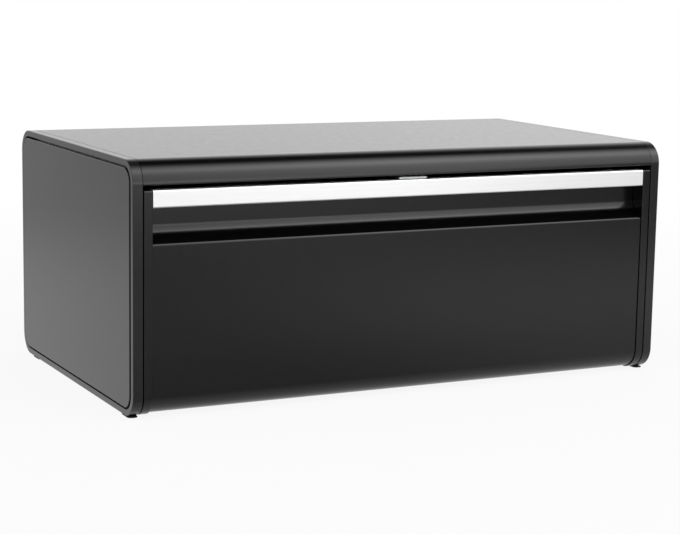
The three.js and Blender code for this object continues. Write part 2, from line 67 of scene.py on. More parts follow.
# sizes that several pieces share
case = {"width": 445, "depth": 260, "height": 184, "corner": 17, "lift": 0.9,
        "sheet": 0.8, "gap": 0.3}
halfWidth = case["width"] / 2
frontY, backY = -case["depth"] / 2, case["depth"] / 2
topZ, lowZ = case["height"], case["lift"]
pinY, pinZ = frontY + case["corner"], lowZ + case["corner"]
hingeLine = (0, pinY, pinZ)     # the lid turns about a line along X through this point
sheet, gap = case["sheet"], case["gap"]

endFrame = {"face": 8, "web": 2, "rim": 4.5, "proud": 0.5, "flangeWidth": 10, "flangeWall": 3,
            "outerEdge": 0.5, "innerEdge": 0.3, "insideEdge": 0.25, "rooted": 0.5}
rimX = halfWidth - endFrame["proud"]
innerX = halfWidth - endFrame["face"]
webX = innerX + endFrame["web"]
screwX = innerX - endFrame["flangeWidth"] / 2

lid = {"runGap": 0.9, "capFace": 6.4, "recess": 1, "lipHeight": 17.4, "lipGap": 3.3,
       "handleHeight": 12.7, "handleRecess": 0.2, "recessHeight": 25, "recessDepth": 13,
       "recessSlope": 32, "cove": 10.1, "flangeDepth": 28, "hemGap": 0.4, "faceBend": 1.8,
       "flangeBend": 1.2, "curlEnd": -45}
lipZ = topZ - lid["lipHeight"]
handleTop = lipZ - lid["lipGap"]
handleLow = handleTop - lid["handleHeight"]
faceTop = handleLow - lid["recessHeight"]
sillY = pinY + case["corner"] + lid["runGap"]
capOuter = innerX - lid["runGap"]
capInner = capOuter - lid["capFace"]
lidEnd = capInner - gap
lidFaceY = frontY + lid["recess"]
handleY = frontY + lid["handleRecess"]
recessBackY = frontY + lid["recessDepth"]
flangeBackY = frontY + lid["flangeDepth"]
capBackY = flangeBackY + sheet + gap

hinge = {"pin": 2.5, "clear": 0.3, "wall": 1.8, "flange": 6.2, "flangeDepth": 1.2, "bossWall": 3,
         "pinInCap": 4.5, "endGap": 0.6, "behindPanel": 0.5, "chamfer": 0.4}
bossX = halfWidth - sheet - hinge["behindPanel"]
boreRadius = hinge["pin"] + hinge["clear"]
bushRadius = boreRadius + hinge["wall"]

bufferPad = {"radius": 3.5, "length": 3, "drop": 9.3, "edge": 0.5}
rivet = {"pitch": 15, "radius": 1.2, "head": 2, "dome": 0.6, "y": handleY + 4.6, "hole": 1.4,
         "clear": 0.1, "tail": 1, "chamfer": 0.2}
capScrew = {"head": 2.8, "dome": 1.8, "shank": 1.4, "length": 5, "tip": 0.5, "hole": 1.6,
            "clear": 0.1, "cross": 3.2, "slot": 0.8, "depth": 1.2, "y": lidFaceY + 5.3,
            "heights": (pinZ + 25.5, faceTop - 23.6)}
foot = {"length": 16.5, "width": 7.6, "front": 10, "back": 23, "side": 0.3, "corner": 3,
        "tread": 0.15, "peg": 1.6, "pegTop": 3.9, "pegClear": 0.2, "holeStart": -2}
footSpans = {
    "front": (frontY + foot["front"], frontY + foot["front"] + foot["length"]),
    "rear": (backY - foot["back"] - foot["length"], backY - foot["back"]),
}
pegX = (innerX + rimX) / 2


def vertsOf(made):
    return [g for g in made if isinstance(g, bmesh.types.BMVert)]


def drawWire(path, arcSteps):
    # path: (y, z) is a straight run there, (y, z, radius, from, to) an arc about it in degrees
    bm = bmesh.new()
    tip = None
    for step in path:
        y, z = step[:2]
        isArc = len(step) == 5
        if isArc:
            radius, start, end = step[2:]
            y += radius * math.cos(math.radians(start))
            z += radius * math.sin(math.radians(start))
        here = Vector((0, y, z))
        if tip is None:
            tip = bm.verts.new(here)
        elif (tip.co - here).length > samePoint:
            tip = bmesh.ops.extrude_vert_indiv(bm, verts=[tip])["verts"][0]
            tip.co = here
        if isArc:
            made = bmesh.ops.spin(
                bm, geom=[tip], cent=(0, *step[:2]), axis=alongX, angle=math.radians(end - start),
                steps=max(2, round(abs(end - start) / 90 * arcSteps)), use_merge=False,
            )
            tip = vertsOf(made["geom_last"])[0]
    return bm


def fillOutline(path, arcSteps=20):
    bm = drawWire(path, arcSteps)
    bmesh.ops.remove_doubles(bm, verts=bm.verts[:], dist=samePoint)
    loose = [v for v in bm.verts if len(v.link_edges) == 1]
    if len(loose) == 2:
        bm.edges.new(loose)
    bmesh.ops.edgeloop_fill(bm, edges=bm.edges[:])
    return bm


def pushAlong(bm, start, end):
    bmesh.ops.translate(bm, vec=(start, 0, 0), verts=bm.verts[:])
    made = bmesh.ops.extrude_face_region(bm, geom=bm.faces[:])
    bmesh.ops.translate(bm, vec=(end - start, 0, 0), verts=vertsOf(made["geom"]))
    bmesh.ops.recalc_face_normals(bm, faces=bm.faces[:])
    return bm


def pushFaces(bm, faces, distance):
    # moves these faces along X, with walls behind them
    made = bmesh.ops.extrude_face_region(bm, geom=faces)
    bmesh.ops.delete(bm, geom=faces, context="FACES")
    bmesh.ops.translate(bm, vec=(distance, 0, 0), verts=vertsOf(made["geom"]))


def facedAlong(bm, shown):
    # an open sheet is turned over if its largest face looks away from shown
    widest = max(bm.faces, key=lambda f: f.calc_area())
    if widest.normal.dot(Vector(shown)) < 0:
        bmesh.ops.reverse_faces(bm, faces=bm.faces[:])
    return bm


def bentSheet(path, half, shown, arcSteps):
    bm = drawWire(path, arcSteps)
    bmesh.ops.translate(bm, vec=(-half, 0, 0), verts=bm.verts[:])
    made = bmesh.ops.extrude_edge_only(bm, edges=bm.edges[:])
    bmesh.ops.translate(bm, vec=(2 * half, 0, 0), verts=vertsOf(made["geom"]))
    bmesh.ops.recalc_face_normals(bm, faces=bm.faces[:])
    return facedAlong(bm, shown)


def inOrder(bm):
    # merging and cutting leave their results in an order that varies from run to run
    ruler = Vector((1, math.sqrt(2), math.sqrt(3)))
    bm.verts.sort(key=lambda v: v.co.dot(ruler))
    bm.edges.sort(key=lambda e: (e.verts[0].co + e.verts[1].co).dot(ruler))
    bm.faces.sort(key=lambda f: f.calc_center_median().dot(ruler))
    return bm


def placed(bm, along, place):
    # turns a piece drawn along +X so that it lies along another direction, and moves it
    turn = Vector(alongX).rotation_difference(Vector(along)).to_matrix().to_4x4()
    bmesh.ops.transform(bm, matrix=Matrix.Translation(place) @ turn, verts=bm.verts[:])
    return bm


def turned(profile, steps, ring=False):
    # profile: (distance along X, radius), spun about X; a ring's profile closes on itself
    bm = bmesh.new()
    points = [bm.verts.new((x, radius, 0)) for x, radius in profile]
    lines = [bm.edges.new(pair) for pair in zip(points, points[1:])]
    if ring:
        lines.append(bm.edges.new((points[-1], points[0])))
    bmesh.ops.spin(
        bm, geom=points + lines, cent=(0, 0, 0), axis=alongX, angle=2 * math.pi, steps=steps,
        use_merge=True,
    )
    bmesh.ops.remove_doubles(bm, verts=bm.verts[:], dist=samePoint)
    bmesh.ops.recalc_face_normals(inOrder(bm), faces=bm.faces[:])
    return bm


def rod(start, end, radius, along, place, steps=32):
    profile = [(start, 0), (start, radius), (end, radius), (end, 0)]
    return placed(turned(profile, steps), along, place)


def dome(radius, height, steps=6):
    turns = [i * math.pi / 2 / steps for i in range(steps + 1)]
    return [(height * (1 - math.cos(a)), radius * math.sin(a)) for a in turns]


def block(x, y, z):
    bm = bmesh.new()
    middle = [(a + b) / 2 for a, b in (x, y, z)]
    length = [abs(b - a) for a, b in (x, y, z)]
    bmesh.ops.create_cube(bm, size=1)
    bmesh.ops.scale(bm, vec=length, verts=bm.verts[:])
    bmesh.ops.translate(bm, vec=middle, verts=bm.verts[:])
    return bm


def joined(*parts):
    mesh = bpy.data.meshes.new("parts")
    whole = bmesh.new()
    for bm in parts:
        bm.to_mesh(mesh)
        whole.from_mesh(mesh)
        bm.free()
    bpy.data.meshes.remove(mesh)
    return whole


def spareObject(bm):
    mesh = bpy.data.meshes.new("spare")
    bm.to_mesh(mesh)
    bm.free()
    thing = bpy.data.objects.new("spare", mesh)
    scene.collection.objects.link(thing)
    return thing


def sliced(bm, faces, place, normal):
    # cuts these faces along a plane and returns what they become
    edges = list(dict.fromkeys(e for f in faces for e in f.edges))
    cut = bmesh.ops.bisect_plane(bm, geom=faces + edges, plane_co=place, plane_no=normal)
    return [g for g in cut["geom"] if isinstance(g, bmesh.types.BMFace)]


def thicken(thing, wall):
    solid = thing.modifiers.new("wall", "SOLIDIFY")
    solid.thickness = wall
    solid.offset = -1
    solid.use_even_offset = True
    solid.use_quality_normals = True


def carved(bm, tool, wall=0):
    # takes the tool's shape out of a piece, after the piece has its wall
    blank, cutter = spareObject(bm), spareObject(tool)
    if wall:
        thicken(blank, wall)
    cut = blank.modifiers.new("cut", "BOOLEAN")
    cut.operation = "DIFFERENCE"
    cut.solver = "EXACT"
    cut.object = cutter
    result = bmesh.new()
    result.from_object(blank, bpy.context.evaluated_depsgraph_get())
    inOrder(result)
    for thing in (blank, cutter):
        mesh = thing.data
        bpy.data.objects.remove(thing)
        bpy.data.meshes.remove(mesh)
    bmesh.ops.dissolve_limit(
        result, angle_limit=math.radians(angles["flat"]), verts=result.verts[:],
        edges=result.edges[:],
    )
    return result


def bevelWhere(bm, test, width, steps):
    corner = math.radians(angles["corner"])
    picked = [e for e in bm.edges if e.calc_face_angle(0) > corner and test(e)]
    bmesh.ops.bevel(
        bm, geom=picked, offset=width, offset_type="OFFSET", segments=steps, profile=0.5,
        affect="EDGES", clamp_overlap=True, material=-1,
    )


def atX(edge, x):
    return all(abs(v.co.x - x) < samePoint for v in edge.verts)


def weighNormals(thing):
    weigh = thing.modifiers.new("shading", "WEIGHTED_NORMAL")
    weigh.keep_sharp = True


def softenEdges(thing, edge, steps):
    bevel = thing.modifiers.new("edges", "BEVEL")
    bevel.width = edge * mm
    bevel.segments = steps
    bevel.limit_method = "ANGLE"
    bevel.angle_limit = math.radians(angles["soften"])
    bevel.profile = 0.5
    bevel.use_clamp_overlap = True
    weighNormals(thing)


def makePiece(bm, name, look, body, replaced, side=1, wall=0, edge=0, edgeSteps=3):
    # side -1 makes the left-hand twin of a piece drawn on the right
    if side < 0:
        bmesh.ops.scale(bm, vec=(-1, 1, 1), verts=bm.verts[:])
        bmesh.ops.reverse_faces(bm, faces=bm.faces[:])
    bmesh.ops.scale(bm, vec=(mm, mm, mm), verts=bm.verts[:])
    for face in bm.faces:
        face.smooth = True
    mesh = bpy.data.meshes.new(name)
    bm.to_mesh(mesh)
    bm.free()
    piece = bpy.data.objects.new(name, mesh)
    scene.collection.objects.link(piece)
    mesh.materials.append(finishes[look])
    if wall:
        thicken(piece, wall * mm)
    if edge:
        softenEdges(piece, edge, edgeSteps)
    else:
        mesh.set_sharp_from_angle(angle=math.radians(angles["shade"]))
        weighNormals(piece)
    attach(piece, body)
    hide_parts(replaced)


finishes = {}
noiseRange = (0.3, 0.7)         # most of a noise lies between these


def newLook(name, colour, roughness, metallic):
    material = bpy.data.materials.new(name)
    material.use_nodes = True
    tree = material.node_tree
    shader = tree.nodes["Principled BSDF"]
    shader.inputs["Base Color"].default_value = (*colour, 1)
    shader.inputs["Roughness"].default_value = roughness
    shader.inputs["Metallic"].default_value = metallic
    shader.inputs["IOR"].default_value = 1.5
    finishes[name] = material
    return tree, shader


def objectNoise(tree, scale, detail=3, stretch=(1, 1, 1)):
    where = tree.nodes.new("ShaderNodeTexCoord")
    mapping = tree.nodes.new("ShaderNodeMapping")
    mapping.inputs["Scale"].default_value = stretch
    noise = tree.nodes.new("ShaderNodeTexNoise")
    noise.inputs["Scale"].default_value = scale
    noise.inputs["Detail"].default_value = detail
    tree.links.new(where.outputs["Object"], mapping.inputs["Vector"])
    tree.links.new(mapping.outputs["Vector"], noise.inputs["Vector"])
    return noise.outputs["Fac"]


def spread(tree, value, span, smooth=False):
    # span: (start, end, level at the start, level at the end)
    node = tree.nodes.new("ShaderNodeMapRange")
    node.interpolation_type = "SMOOTHSTEP" if smooth else "LINEAR"
    for key, number in zip(("From Min", "From Max", "To Min", "To Max"), span):
        node.inputs[key].default_value = number
    tree.links.new(value, node.inputs["Value"])
    return node.outputs["Result"]


def varied(tree, value, low, high, socket):
    tree.links.new(spread(tree, value, (*noiseRange, low, high)), socket)


def tinted(tree, value, dark, light, socket):
    ramp = tree.nodes.new("ShaderNodeValToRGB")
    for stop, place, colour in zip(ramp.color_ramp.elements, noiseRange, (dark, light)):
        stop.position = place
        stop.color = (*colour, 1)
    tree.links.new(value, ramp.inputs["Fac"])
    tree.links.new(ramp.outputs["Color"], socket)


def grained(tree, shader, height, strength, depth):
    bump = tree.nodes.new("ShaderNodeBump")
    bump.inputs["Strength"].default_value = strength
    bump.inputs["Distance"].default_value = depth
    tree.links.new(height, bump.inputs["Height"])
    tree.links.new(bump.outputs["Normal"], shader.inputs["Normal"])


def plainLook(name, look, metallic):
    dark, light = look["dark"], look["light"]
    middle = tuple((a + b) / 2 for a, b in zip(dark, light))
    tree, shader = newLook(name, middle, look["rough"], metallic)
    patch, blur, grain = (objectNoise(tree, look[key]) for key in ("patch", "blur", "grain"))
    tinted(tree, patch, dark, light, shader.inputs["Base Color"])
    varied(tree, blur, look["smooth"], look["rough"], shader.inputs["Roughness"])
    grained(tree, shader, grain, look["bump"], look["depth"])


# dark to light colour, smooth to rough gloss, how fine the patches, blur and grain are,
# and the grain's bump, with its depth in metres
looks = {
    "black_paint": {"dark": (0.0010,) * 3, "light": (0.0024,) * 3, "smooth": 0.175, "rough": 0.205,
                    "patch": 300, "blur": 180, "grain": 1400, "bump": 0.1, "depth": 0.00002},
    "black_plastic": {"dark": (0.0015,) * 3, "light": (0.003,) * 3, "smooth": 0.18, "rough": 0.22,
                      "patch": 220, "blur": 260, "grain": 2600, "bump": 0.1, "depth": 0.00002},
    "satin_plastic": {"dark": (0.009,) * 3, "light": (0.012,) * 3, "smooth": 0.17, "rough": 0.21,
                      "patch": 220, "blur": 260, "grain": 2600, "bump": 0.1, "depth": 0.00002},
    "grey_plastic": {"dark": (0.06,) * 3, "light": (0.08,) * 3, "smooth": 0.45, "rough": 0.55,
                     "patch": 120, "blur": 200, "grain": 2200, "bump": 0.3, "depth": 0.00005},
    "ferrite": {"dark": (0.05,) * 3, "light": (0.075,) * 3, "smooth": 0.5, "rough": 0.7,
                "patch": 260, "blur": 320, "grain": 1500, "bump": 0.3, "depth": 0.00003},
    "nylon": {"dark": (0.66, 0.66, 0.63), "light": (0.72, 0.72, 0.69), "smooth": 0.4, "rough": 0.5,
              "patch": 160, "blur": 320, "grain": 900, "bump": 0.3, "depth": 0.00002},
    "black_rubber": {"dark": (0.016,) * 3, "light": (0.026,) * 3, "smooth": 0.7, "rough": 0.85,
                     "patch": 160, "blur": 320, "grain": 1900, "bump": 0.3, "depth": 0.00006},
}
metals = {
    "zinc_plate": {"dark": (0.5, 0.51, 0.52), "light": (0.66, 0.67, 0.68),
                   "smooth": 0.28, "rough": 0.46,
                   "patch": 420, "blur": 700, "grain": 1800, "bump": 0.15, "depth": 0.00002},
    "turned_steel": {"dark": (0.62, 0.62, 0.61), "light": (0.72, 0.72, 0.71),
                     "smooth": 0.22, "rough": 0.32,
                     "patch": 500, "blur": 900, "grain": 2400, "bump": 0.12, "depth": 0.00001},
}


def brushedSteel():
    look = {"dark": (0.85,) * 3, "middle": (0.86,) * 3, "light": (0.93,) * 3, "roughness": 0.34,
            "stretch": 0.75, "lines": (9, 4200, 4200), "detail": 4, "bump": 0.15, "depth": 0.00001}
    tree, shader = newLook("stainless_steel", look["middle"], look["roughness"], metallic=1)
    lines = objectNoise(tree, 1, look["detail"], stretch=look["lines"])
    tinted(tree, lines, look["dark"], look["light"], shader.inputs["Base Color"])
    shader.inputs["Anisotropic"].default_value = look["stretch"]
    across = tree.nodes.new("ShaderNodeTangent")        # the gloss spreads across the brushing
    across.direction_type = "UV_MAP"
    across.uv_map = "brush"
    tree.links.new(across.outputs["Tangent"], shader.inputs["Tangent"])
    grained(tree, shader, lines, look["bump"], look["depth"])


for name, look in looks.items():
    plainLook(name, look, metallic=0)
for name, look in metals.items():
    plainLook(name, look, metallic=1)
brushedSteel()
print("finishes:", ", ".join(sorted(finishes)))


def sideOutline(inset):
    corner = case["corner"]
    radius = corner - inset
    return [
        (backY - corner, lowZ + corner, radius, -90, 0),
        (backY - corner, topZ - corner, radius, 0, 90),
        (frontY + corner, topZ - corner, radius, 90, 180),
        (frontY + corner, lowZ + corner, radius, 180, 270),
    ]


countersink = {"head": 3, "rim": 0.1, "drop": 1.5, "shank": 1.4, "length": 6.5, "flush": 0.1,
               "clear": 0.2, "cross": 3.4, "slot": 0.8, "depth": 1.1,
               "fromCorner": 38, "fromEnd": 45}


def frameScrewPlaces():
    up, along = countersink["fromCorner"], countersink["fromEnd"]
    return (
        ("back_top", (0, -1, 0), (backY, topZ - up)),
        ("back_bottom", (0, -1, 0), (backY, lowZ + up)),
        ("base_rear", alongZ, (backY - along, lowZ)),
        ("base_front", alongZ, (sillY + along, lowZ)),
    )


def countersunk(grow=0):
    # the screw, or with grow the cutter for its hole
    size = countersink
    start = -outside if grow else size["flush"]
    head, shank, end = size["head"] + grow, size["shank"] + grow, size["length"] + grow
    return turned([
        (start, 0), (start, head), (size["flush"] + size["rim"], head),
        (size["flush"] + size["drop"], shank), (end, shank), (end, 0),
    ], steps=40)


def screwHoles(side):
    return [
        placed(countersunk(countersink["clear"]), along, (side * screwX, y, z))
        for _, along, (y, z) in frameScrewPlaces()
    ]


def buildSleeve():
    sleeve = {"hem": 6, "hemBend": 0.9, "sill": 8, "sillBend": 1.1, "vents": 9, "ventPitch": 12,
              "ventDrop": 30, "ventRadius": 2.5, "ventReach": 3, "edge": 0.22}
    corner, bend, sillBend = case["corner"], sleeve["hemBend"], sleeve["sillBend"]
    rise = math.degrees(math.asin((lipZ + bend - (topZ - corner)) / corner))
    path = [
        (frontY + sleeve["hem"], lipZ),
        (frontY + bend, lipZ + bend, bend, 270, 180),
        (frontY + corner, topZ - corner, corner, 180 - rise, 90),
        (backY - corner, topZ - corner, corner, 90, 0),
        (backY - corner, lowZ + corner, corner, 0, -90),
        (sillY + sillBend, lowZ + sillBend, sillBend, 270, 180),
        (sillY, lowZ + sleeve["sill"]),
    ]
    bm = bentSheet(path, innerX - gap, alongZ, arcSteps=28)
    reach, ventZ = sleeve["ventReach"], topZ - sleeve["ventDrop"]
    holes = []
    for i in range(sleeve["vents"]):
        x = (i - (sleeve["vents"] - 1) / 2) * sleeve["ventPitch"]
        holes.append(rod(-reach, reach, sleeve["ventRadius"], alongY, (x, backY, ventZ)))
    for side, _ in sides:
        holes += screwHoles(side)
    bm = carved(bm, joined(*holes), sheet)
    makePiece(bm, "sleeve", "black_paint", "root", "body_sleeve", edge=sleeve["edge"], edgeSteps=2)


buildSleeve()
print("sleeve built")

stopPeg = {"radius": 2, "orbit": 11.5, "angle": 70, "into": 2.7}
bufferStand = {"half": 5, "reach": 9, "length": 8, "edge": 0.6}
bushSeat = {"before": 1, "beyond": 2}
rimBand = 0.05                  # how near its outline an edge of the rim's face counts as outer


def onOutline(edge):
    # whether an edge lies on the rounded outline of the side view
    corner = case["corner"]
    for vert in edge.verts:
        v = abs(vert.co.y) - (case["depth"] / 2 - corner)
        w = abs(vert.co.z - (topZ + lowZ) / 2) - ((topZ - lowZ) / 2 - corner)
        if v > 0 and w > 0:
            off = abs(math.hypot(v, w) - corner)
        else:
            off = min(abs(v - corner), abs(w - corner))
        if off >= rimBand:
            return False
    return True


def widestAt(bm, x):
    found = [f for f in bm.faces if abs(f.calc_center_median().x - x) < slack]
    return max(found, key=lambda f: f.calc_area())


def frameShell():
    # a rim round a sunken web, and inside it a flange that carries the sleeve
    skin = sheet + gap
    bm = pushAlong(fillOutline(sideOutline(0), arcSteps=28), innerX, rimX)
    outer = widestAt(bm, rimX)
    bmesh.ops.inset_region(bm, faces=[outer], thickness=endFrame["rim"], use_even_offset=True)
    pushFaces(bm, [outer], webX - rimX)
    inner = widestAt(bm, innerX)
    bmesh.ops.inset_region(bm, faces=[inner], thickness=skin, use_even_offset=True)
    made = bmesh.ops.inset_region(
        bm, faces=[inner], thickness=endFrame["flangeWall"], use_even_offset=True
    )
    ring = list(made["faces"])
    for place, normal in (((0, sillY + skin, 0), alongY), ((0, 0, lipZ + skin), alongZ)):
        ring = sliced(bm, ring, place, normal)
    kept = []
    for face in ring:
        middle = face.calc_center_median()
        if middle.y > sillY + skin or middle.z > lipZ + skin:
            kept.append(face)
    pushFaces(bm, kept, -endFrame["flangeWidth"])
    bmesh.ops.recalc_face_normals(bm, faces=bm.faces[:])
    bevelWhere(bm, lambda e: atX(e, rimX) and onOutline(e), endFrame["outerEdge"], steps=4)
    bevelWhere(bm, lambda e: atX(e, rimX) and not onOutline(e), endFrame["innerEdge"], steps=3)
    bevelWhere(bm, lambda e: atX(e, innerX) and onOutline(e), endFrame["insideEdge"], steps=3)
    return bm


def frameHoles():
    start, end = innerX - bushSeat["before"], rimX + bushSeat["beyond"]
    step = innerX + hinge["flangeDepth"] + gap
    seat = turned([
        (start, 0), (start, hinge["flange"] + gap), (step, hinge["flange"] + gap),
        (step, bushRadius + gap), (end, bushRadius + gap), (end, 0),
    ], steps=40)
    holes = [placed(seat, alongX, hingeLine)] + screwHoles(1)
    radius = foot["peg"] + foot["pegClear"]
    for near, far in footSpans.values():
        place = (pegX, (near + far) / 2, 0)
        holes.append(rod(foot["holeStart"], foot["pegTop"] + gap, radius, alongZ, place))
    return joined(*holes)


def frameFittings():
    # the boss round the hinge bush, the stop peg and the stand for the lid's buffer
    start, wall = webX - endFrame["rooted"], bushRadius + gap
    outer = wall + hinge["bossWall"]
    profile = [(start, wall), (bossX, wall), (bossX, outer), (start, outer)]
    boss = placed(turned(profile, steps=40, ring=True), alongX, hingeLine)
    angle, orbit = math.radians(stopPeg["angle"]), stopPeg["orbit"]
    pegPlace = (0, pinY + orbit * math.cos(angle), pinZ + orbit * math.sin(angle))
    peg = rod(capOuter - stopPeg["into"], start, stopPeg["radius"], alongX, pegPlace)
    y = capBackY + gap + bufferPad["length"] + gap
    z = handleTop - bufferPad["drop"]
    stand = block(
        (innerX - bufferStand["reach"], innerX + endFrame["rooted"]),
        (y, y + bufferStand["length"]),
        (z - bufferStand["half"], z + bufferStand["half"]),
    )
    bevelWhere(stand, lambda e: True, bufferStand["edge"], steps=3)
    return boss, peg, stand


def buildEndFrames():
    for side, word in sides:
        bm = joined(carved(frameShell(), frameHoles()), *frameFittings())
        makePiece(bm, f"end_moulding_{word}", "satin_plastic", "root", f"end_frame_{word}", side)


buildEndFrames()
print("end frames built")


def buildSidePanels():
    panel = {"groove": 1.5, "crown": 0.4, "wall": 0.8}
    outline = sideOutline(endFrame["rim"] + panel["groove"])
    back = webX + gap
    for side, word in sides:
        bm = pushAlong(fillOutline(outline, arcSteps=24), back, halfWidth)
        bevelWhere(bm, lambda e: atX(e, halfWidth), panel["crown"], steps=6)
        hidden = [f for f in bm.faces if f.calc_center_median().x < back + slack]
        bmesh.ops.delete(bm, geom=hidden, context="FACES_ONLY")
        makePiece(bm, f"side_plate_{word}", "black_paint", "root", f"side_panel_{word}", side,
                  wall=panel["wall"])


buildSidePanels()
print("side plates built")


def buildFeet():
    x1 = rimX - foot["side"]
    x0 = x1 - foot["width"]
    r = foot["corner"]
    onGround = Matrix(((0, 1, 0, 0), (0, 0, 1, 0), (1, 0, 0, 0), (0, 0, 0, 1)))
    for side, word in sides:
        for end, (near, far) in footSpans.items():
            # drawn in plan, pushed along X and then stood on the ground
            path = [
                (x1 - r, near + r, r, -90, 0), (x1 - r, far - r, r, 0, 90),
                (x0 + r, far - r, r, 90, 180), (x0 + r, near + r, r, 180, 270),
            ]
            bm = pushAlong(fillOutline(path, arcSteps=8), 0, lowZ - gap)
            bevelWhere(bm, lambda e: atX(e, 0), foot["tread"], steps=3)
            bmesh.ops.transform(bm, matrix=onGround, verts=bm.verts[:])
            place = (pegX, (near + far) / 2, 0)
            peg = rod(lowZ - 2 * gap, foot["pegTop"], foot["peg"], alongZ, place, steps=24)
            makePiece(joined(bm, peg), f"foot_pad_{end}_{word}", "black_rubber", "root",
                      f"foot_{end}_{word}", side)


buildFeet()
print("feet built")

railScrew = {"head": 2.2, "dome": 1, "shank": 1.1, "length": 4.6, "tip": 0.5,
             "cross": 2.6, "slot": 0.7, "depth": 0.7, "place": (18, frontY + 19, lipZ - 2)}


def crossRecess(screw):
    a, b = screw["slot"] / 2, screw["cross"] / 2
    path = [
        (a, a), (a, b), (-a, b), (-a, a), (-b, a), (-b, -a),
        (-a, -a), (-a, -b), (a, -b), (a, -a), (b, -a), (b, a),
    ]
    return pushAlong(fillOutline(path), -outside, screw["depth"])


def panScrew(screw):
    # the head's crown is at the start, the tip at the end
    end = screw["dome"] + screw["length"]
    profile = dome(screw["head"], screw["dome"]) + [
        (screw["dome"], screw["shank"]), (end - screw["tip"], screw["shank"]), (end, 0),
    ]
    return carved(turned(profile, steps=40), crossRecess(screw))


def buildScrews():
    headX = lidEnd - sheet - capScrew["clear"] - capScrew["dome"]
    for side, word in sides:
        for name, along, (y, z) in frameScrewPlaces():
            bm = placed(carved(countersunk(), crossRecess(countersink)), along, (screwX, y, z))
            makePiece(bm, f"countersunk_{name}_{word}", "zinc_plate", "root",
                      f"frame_screw_{name}_{word}", side, edge=0.08, edgeSteps=2)
        for name, z in zip(("lower", "upper"), capScrew["heights"]):
            bm = placed(panScrew(capScrew), alongX, (headX, capScrew["y"], z))
            makePiece(bm, f"pan_screw_{name}_{word}", "zinc_plate", "lid",
                      f"cap_screw_{name}_{word}", side, edge=0.06, edgeSteps=2)
        bm = placed(panScrew(railScrew), alongZ, railScrew["place"])
        makePiece(bm, f"rail_screw_{word}", "zinc_plate", "root", f"catch_screw_{word}", side,
                  edge=0.05, edgeSteps=2)


buildScrews()
print("screws built")


def buildHinges():
    r, chamfer = hinge["pin"], hinge["chamfer"]
    start, end = capOuter - hinge["pinInCap"], bossX - hinge["endGap"]
    flangeStart, flangeEnd = innerX + gap, innerX + hinge["flangeDepth"]
    bufferPlace = (capOuter - lid["capFace"] / 2, capBackY + gap, handleTop - bufferPad["drop"])
    for side, word in sides:
        bm = turned([
            (start, 0), (start, r - chamfer), (start + chamfer, r),
            (end - chamfer, r), (end, r - chamfer), (end, 0),
        ], steps=40)
        makePiece(placed(bm, alongX, hingeLine), f"pin_{word}", "turned_steel", "lid",
                  f"hinge_pin_{word}", side, edge=0.06)
        bm = turned([
            (flangeStart, boreRadius), (flangeStart, hinge["flange"]),
            (flangeEnd, hinge["flange"]), (flangeEnd, bushRadius),
            (bossX, bushRadius), (bossX, boreRadius),
        ], steps=48, ring=True)
        makePiece(placed(bm, alongX, hingeLine), f"bush_{word}", "nylon", "root",
                  f"hinge_bush_{word}", side, edge=0.15)
        bm = rod(0, bufferPad["length"], bufferPad["radius"], alongY, bufferPlace, steps=40)
        makePiece(bm, f"buffer_{word}", "black_rubber", "root", f"lid_buffer_{word}", side,
                  edge=bufferPad["edge"])


buildHinges()
print("hinges and buffers built")


def rivetHole(side, start, end, z):
    return rod(start, end, rivet["hole"], alongZ, (side * rivet["pitch"] / 2, rivet["y"], z))


def buildLidPanel():
    panel = {"sideFlange": 9.8, "flangeFoot": 11.5, "flangeDrop": 9.6, "edge": 0.22,
             "rivetHole": (-0.6, 1.2), "screwHole": (-2, 1)}
    under = handleTop - sheet - gap - sheet
    lipInner = handleY + sheet + gap + sheet
    bend, cove, fold = lid["faceBend"], lid["cove"], lid["flangeBend"]
    slope = math.radians(lid["recessSlope"])
    foldEndY = lidFaceY + bend - bend * math.sin(slope)
    foldEndZ = faceTop - bend + bend * math.cos(slope)
    coveY = recessBackY - cove
    run = coveY + cove * math.sin(slope) - foldEndY
    coveZ = foldEndZ + run * math.tan(slope) + cove * math.cos(slope)
    wallBend, hem = fold + sheet, lid["hemGap"] / 2
    path = [
        (pinY, pinZ, pinY - lidFaceY, lid["curlEnd"], -180),
        (lidFaceY + bend, faceTop - bend, bend, 180, 90 + lid["recessSlope"]),
        (coveY, coveZ, cove, lid["recessSlope"] - 90, 0),
        (recessBackY + wallBend, under - lid["hemGap"] - wallBend, wallBend, 180, 90),
        (flangeBackY - hem, under - hem, hem, -90, 90),
        (lipInner + fold, under - fold, fold, 90, 180),
        (lipInner, handleLow + sheet + gap),
    ]
    bm = bentSheet(path, lidEnd, (0, -1, 0), arcSteps=24)
    low, high = pinZ + panel["flangeFoot"], faceTop - panel["flangeDrop"]
    face = [max(bm.faces, key=lambda f: f.calc_area())]
    for z in (low, high):
        face = sliced(bm, face, (0, 0, z), alongZ)

    def onFace(vert):
        return abs(vert.co.y - lidFaceY) < slack and low - slack < vert.co.z < high + slack

    ends = [e for e in bm.edges if e.is_boundary and all(onFace(v) for v in e.verts)]
    made = bmesh.ops.extrude_edge_only(bm, edges=ends)
    bmesh.ops.translate(bm, vec=(0, panel["sideFlange"], 0), verts=vertsOf(made["geom"]))
    bmesh.ops.recalc_face_normals(bm, faces=bm.faces[:])
    facedAlong(bm, (0, -1, 0))
    holes = []
    for side, _ in sides:
        holes.append(rivetHole(side, *panel["rivetHole"], under))
        for z in capScrew["heights"]:
            place = (side * lidEnd, capScrew["y"], z)
            holes.append(rod(*panel["screwHole"], capScrew["hole"], (side, 0, 0), place))
    bm = carved(bm, joined(*holes), sheet)
    makePiece(bm, "lid_sheet", "black_paint", "lid", "lid_panel", edge=panel["edge"], edgeSteps=2)


